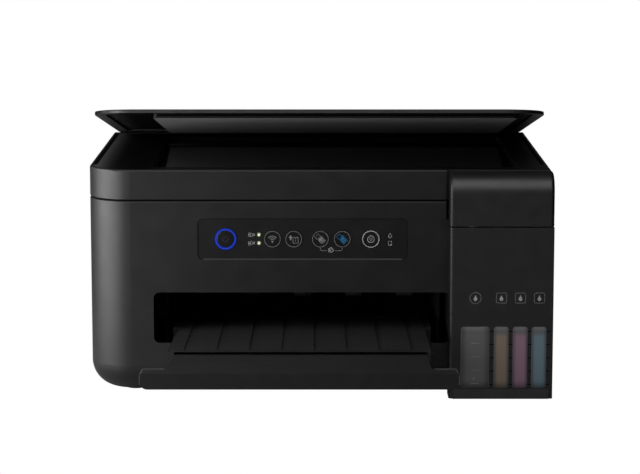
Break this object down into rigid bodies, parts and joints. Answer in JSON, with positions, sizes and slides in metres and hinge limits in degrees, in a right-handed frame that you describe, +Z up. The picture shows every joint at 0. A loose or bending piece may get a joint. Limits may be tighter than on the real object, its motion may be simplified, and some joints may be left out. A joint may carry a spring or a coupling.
{
  "type": "ink tank inkjet printer",
  "caption": "Black ink-tank inkjet printer with a flatbed scanner, hinged document cover, front button panel, windowed ink tanks and a sliding output tray.",
  "frame": {"origin": "on the table under the middle of the outline, with the tray pulled out", "axes": "+Z up, -Y out of the front where the buttons and tray are, +X to the right seen from the front"},
  "size_m": [0.375, 0.56, 0.2333],
  "materials": {
    "housing_plastic": "fine satin texture",
    "scanner_plastic": "fine satin texture",
    "lid_plastic": "fine satin texture",
    "bed_plastic": "satin",
    "tank_shell_plastic": "semi gloss",
    "panel_plastic": "satin",
    "button_plastic": "satin",
    "blue_light": "lit",
    "white_light": "lit",
    "ink_black": "frosted",
    "ink_yellow": "frosted",
    "ink_magenta": "frosted",
    "ink_cyan": "frosted",
    "clear_glass": "polished",
    "mat_foam": "matte",
    "foot_rubber": "matte",
    "roller_rubber": "matte",
    "steel": "bare",
    "inner_plastic": "matte",
    "white_plastic": "matte",
    "board_green": "satin",
    "belt_rubber": "matte",
    "clear_film": "clear",
    "cap_grey": "satin"
  },
  "bodies": {
    "printer_body": {"main_housing": "housing_plastic", "base_plate": "inner_plastic", "rubber_feet": "foot_rubber", "control_panel": "panel_plastic", "control_board": "board_green", "power_light_ring": "blue_light", "indicator_lenses": "white_light", "tank_housing": "tank_shell_plastic", "scanner_hinge_pins": "steel", "platen": "inner_plastic", "ink_tubes": "clear_film", "feed_motor": "steel", "chassis_frame": "steel", "carriage_belt": "belt_rubber", "carriage_motor": "steel", "encoder_strip": "clear_film", "maintenance_station": "inner_plastic", "rear_paper_chute": "inner_plastic", "power_supply": "inner_plastic", "power_inlet": "inner_plastic", "main_board": "board_green", "ink_tank_black": "ink_black", "ink_tank_yellow": "ink_yellow", "ink_tank_magenta": "ink_magenta", "ink_tank_cyan": "ink_cyan"},
    "scanner_unit": {"scanner_tub": "scanner_plastic", "scanner_frame": "bed_plastic", "scanner_glass": "clear_glass", "lid_hinge_pins": "steel"},
    "scan_bar": {"scan_sensor_bar": "inner_plastic"},
    "document_cover": {"document_cover": "lid_plastic", "document_mat": "mat_foam"},
    "tank_cover": {"tank_cover": "tank_shell_plastic"},
    "output_tray": {"output_tray": "housing_plastic"},
    "tray_extension": {"tray_extension": "housing_plastic"},
    "carriage": {"print_carriage": "inner_plastic", "print_head": "steel"},
    "drive_pulley": {"drive_pulley": "white_plastic"},
    "idler_pulley": {"idler_pulley": "white_plastic"},
    "feed_roller": {"feed_roller": "steel"},
    "exit_roller": {"exit_roller": "roller_rubber"},
    "idler_gear": {"idler_gear": "white_plastic"},
    "motor_pinion": {"motor_pinion": "white_plastic"},
    "star_wheels": {"star_wheels": "steel"},
    "pinch_rollers": {"pinch_rollers": "roller_rubber"},
    "pickup_roller": {"pickup_roller": "roller_rubber"},
    "paper_support": {"paper_support": "housing_plastic"},
    "edge_guide_left": {"edge_guide_left": "inner_plastic"},
    "edge_guide_right": {"edge_guide_right": "inner_plastic"},
    "feeder_guard": {"feeder_guard": "housing_plastic"},
    "power_button": {"power_button": "button_plastic"},
    "ink_cap_black": {"ink_cap_black": "cap_grey"},
    "ink_cap_yellow": {"ink_cap_yellow": "cap_grey"},
    "ink_cap_magenta": {"ink_cap_magenta": "cap_grey"},
    "ink_cap_cyan": {"ink_cap_cyan": "cap_grey"},
    "wireless_button": {"wireless_button": "button_plastic"},
    "document_button": {"document_button": "button_plastic"},
    "mono_copy_button": {"mono_copy_button": "button_plastic"},
    "colour_copy_button": {"colour_copy_button": "button_plastic"},
    "stop_button": {"stop_button": "button_plastic"}
  },
  "joints": [
    {"name": "scanner_unit_hinge", "type": "hinge", "parent": "printer_body", "child": "scanner_unit", "pos_m": [0, 0.239, 0.1554], "axis": [-1, 0, 0], "range_deg": [0, 25]},
    {"name": "document_cover_hinge", "type": "hinge", "parent": "scanner_unit", "child": "document_cover", "pos_m": [0, 0.2245, 0.1845], "axis": [-1, 0, 0], "range_deg": [-9.7, 65]},
    {"name": "scan_bar_slide", "type": "slide", "parent": "scanner_unit", "child": "scan_bar", "axis": [1, 0, 0], "range_m": [0, 0.265]},
    {"name": "tank_cover_hinge", "type": "hinge", "parent": "printer_body", "child": "tank_cover", "pos_m": [0, -0.052, 0.1795], "axis": [-1, 0, 0], "range_deg": [0, 85]},
    {"name": "ink_cap_black_hinge", "type": "hinge", "parent": "printer_body", "child": "ink_cap_black", "pos_m": [0.12505, -0.045, 0.1425], "axis": [-1, 0, 0], "range_deg": [0, 95]},
    {"name": "ink_cap_yellow_hinge", "type": "hinge", "parent": "printer_body", "child": "ink_cap_yellow", "pos_m": [0.14605, -0.045, 0.1425], "axis": [-1, 0, 0], "range_deg": [0, 95]},
    {"name": "ink_cap_magenta_hinge", "type": "hinge", "parent": "printer_body", "child": "ink_cap_magenta", "pos_m": [0.16115, -0.045, 0.1425], "axis": [-1, 0, 0], "range_deg": [0, 95]},
    {"name": "ink_cap_cyan_hinge", "type": "hinge", "parent": "printer_body", "child": "ink_cap_cyan", "pos_m": [0.17625, -0.045, 0.1425], "axis": [-1, 0, 0], "range_deg": [0, 95]},
    {"name": "output_tray_slide", "type": "slide", "parent": "printer_body", "child": "output_tray", "axis": [0, -0.9984, 0.0558], "range_m": [-0.127, 0]},
    {"name": "tray_extension_slide", "type": "slide", "parent": "output_tray", "child": "tray_extension", "axis": [0, -0.9984, 0.0558], "range_m": [-0.108, 0]},
    {"name": "power_button_press", "type": "slide", "parent": "printer_body", "child": "power_button", "axis": [0, 1, 0], "range_m": [0, 0.0008], "stiffness_N_per_m": 1500},
    {"name": "wireless_button_press", "type": "slide", "parent": "printer_body", "child": "wireless_button", "axis": [0, 1, 0], "range_m": [0, 0.0008], "stiffness_N_per_m": 1500},
    {"name": "document_button_press", "type": "slide", "parent": "printer_body", "child": "document_button", "axis": [0, 1, 0], "range_m": [0, 0.0008], "stiffness_N_per_m": 1500},
    {"name": "mono_copy_button_press", "type": "slide", "parent": "printer_body", "child": "mono_copy_button", "axis": [0, 1, 0], "range_m": [0, 0.0008], "stiffness_N_per_m": 1500},
    {"name": "colour_copy_button_press", "type": "slide", "parent": "printer_body", "child": "colour_copy_button", "axis": [0, 1, 0], "range_m": [0, 0.0008], "stiffness_N_per_m": 1500},
    {"name": "stop_button_press", "type": "slide", "parent": "printer_body", "child": "stop_button", "axis": [0, 1, 0], "range_m": [0, 0.0008], "stiffness_N_per_m": 1500},
    {"name": "carriage_slide", "type": "slide", "parent": "printer_body", "child": "carriage", "axis": [1, 0, 0], "range_m": [-0.238, 0], "deforming": ["ink_tubes"]},
    {"name": "drive_pulley_spin", "type": "hinge", "parent": "printer_body", "child": "drive_pulley", "pos_m": [0.165, -0.045, 0.123], "axis": [0, 1, 0], "range_deg": [-2283, 10]},
    {"name": "idler_pulley_spin", "type": "hinge", "parent": "printer_body", "child": "idler_pulley", "pos_m": [-0.13, -0.045, 0.123], "axis": [0, 1, 0], "range_deg": [-2283, 10]},
    {"name": "feed_roller_spin", "type": "hinge", "parent": "printer_body", "child": "feed_roller", "pos_m": [0, 0.14, 0.072], "axis": [1, 0, 0], "continuous": true},
    {"name": "exit_roller_spin", "type": "hinge", "parent": "printer_body", "child": "exit_roller", "pos_m": [0, 0.047, 0.072], "axis": [1, 0, 0], "continuous": true},
    {"name": "idler_gear_spin", "type": "hinge", "parent": "printer_body", "child": "idler_gear", "pos_m": [0, 0.0905, 0.072], "axis": [1, 0, 0], "continuous": true},
    {"name": "motor_pinion_spin", "type": "hinge", "parent": "printer_body", "child": "motor_pinion", "pos_m": [0, 0.15425, 0.09668], "axis": [1, 0, 0], "continuous": true},
    {"name": "star_wheels_spin", "type": "hinge", "parent": "printer_body", "child": "star_wheels", "pos_m": [0, 0.047, 0.0825], "axis": [1, 0, 0], "continuous": true},
    {"name": "pinch_rollers_spin", "type": "hinge", "parent": "printer_body", "child": "pinch_rollers", "pos_m": [0, 0.14, 0.0853], "axis": [1, 0, 0], "continuous": true},
    {"name": "pickup_roller_spin", "type": "hinge", "parent": "printer_body", "child": "pickup_roller", "pos_m": [0, 0.20259, 0.10285], "axis": [1, 0, 0], "continuous": true},
    {"name": "paper_support_slide", "type": "slide", "parent": "printer_body", "child": "paper_support", "axis": [0, 0.6524, 0.7579], "range_m": [0, 0.07]},
    {"name": "edge_guide_right_slide", "type": "slide", "parent": "printer_body", "child": "edge_guide_right", "axis": [1, 0, 0], "range_m": [-0.05, 0]},
    {"name": "edge_guide_left_slide", "type": "slide", "parent": "printer_body", "child": "edge_guide_left", "axis": [1, 0, 0], "range_m": [0, 0.05]},
    {"name": "feeder_guard_hinge", "type": "hinge", "parent": "printer_body", "child": "feeder_guard", "pos_m": [0, 0.2625, 0.1579], "axis": [-1, 0, 0], "range_deg": [0, 80]}
  ],
  "couplings": [
    {"joint": "drive_pulley_spin", "follows": "carriage_slide", "rad_per_m": 166.67},
    {"joint": "idler_pulley_spin", "follows": "carriage_slide", "rad_per_m": 166.67},
    {"joint": "idler_gear_spin", "follows": "feed_roller_spin", "ratio": -0.57143},
    {"joint": "exit_roller_spin", "follows": "feed_roller_spin", "ratio": 1.5},
    {"joint": "motor_pinion_spin", "follows": "feed_roller_spin", "ratio": -1.7143},
    {"joint": "star_wheels_spin", "follows": "feed_roller_spin", "ratio": -2.1429},
    {"joint": "pinch_rollers_spin", "follows": "feed_roller_spin", "ratio": -2.25},
    {"joint": "edge_guide_left_slide", "follows": "edge_guide_right_slide", "ratio": -1}
  ]
}
